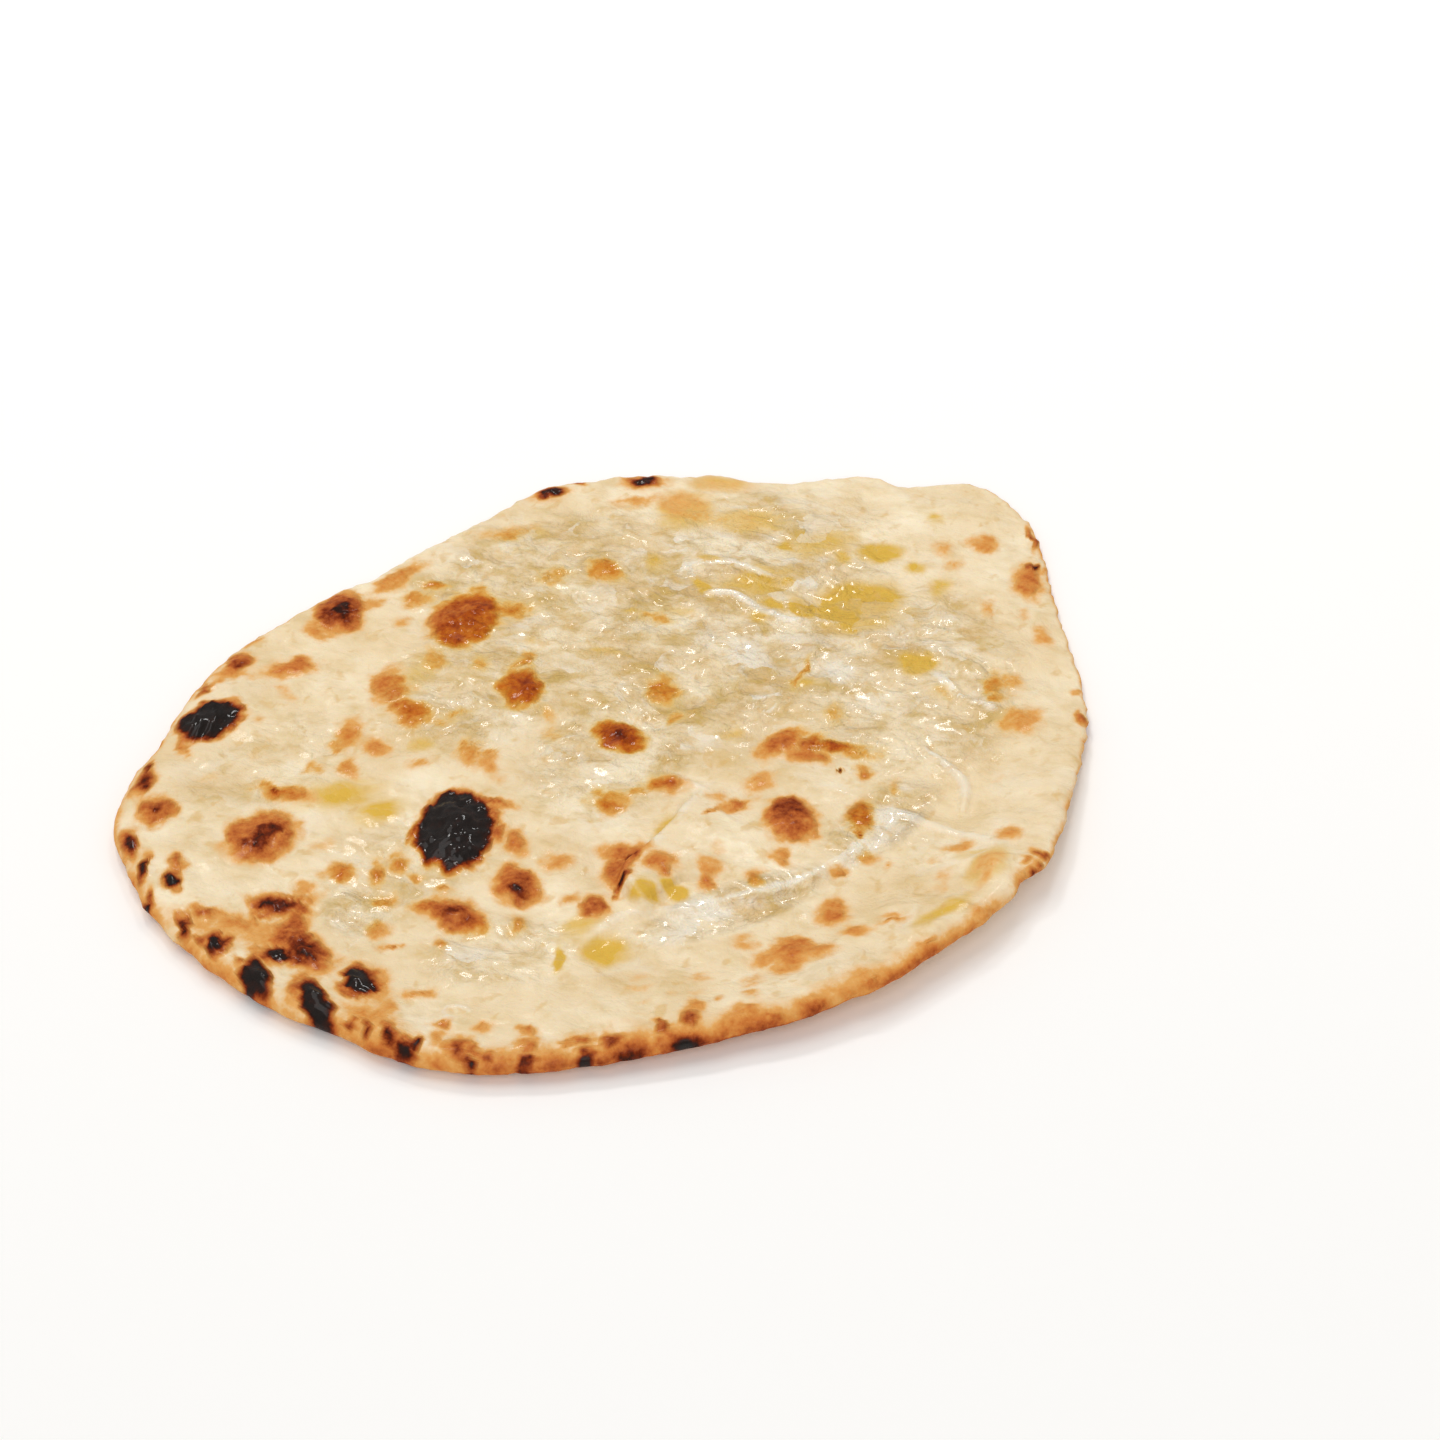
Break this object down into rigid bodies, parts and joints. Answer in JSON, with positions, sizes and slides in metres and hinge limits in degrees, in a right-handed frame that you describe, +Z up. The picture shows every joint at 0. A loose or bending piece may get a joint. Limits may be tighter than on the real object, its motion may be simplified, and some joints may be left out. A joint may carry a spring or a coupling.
{
  "type": "naan bread",
  "caption": "Hand-stretched oval flatbread with a puffed, charred edge, blisters and soft folds, lying flat with its near edge curled up",
  "frame": {"origin": "middle of the bread's box at the height of the surface it lies on, on the flat middle of its underside", "axes": "+X along the bread's longest extent towards its blunt tip, +Y across it towards its far side, +Z up out of the browned top"},
  "size_m": [0.279, 0.2134, 0.0113],
  "materials": {
    "baked_crust": "baked wheat dough with brown and black scorched blisters, brushed with melted butter"
  },
  "bodies": {
    "root": {"naan": "baked_crust"}
  },
  "joints": []
}
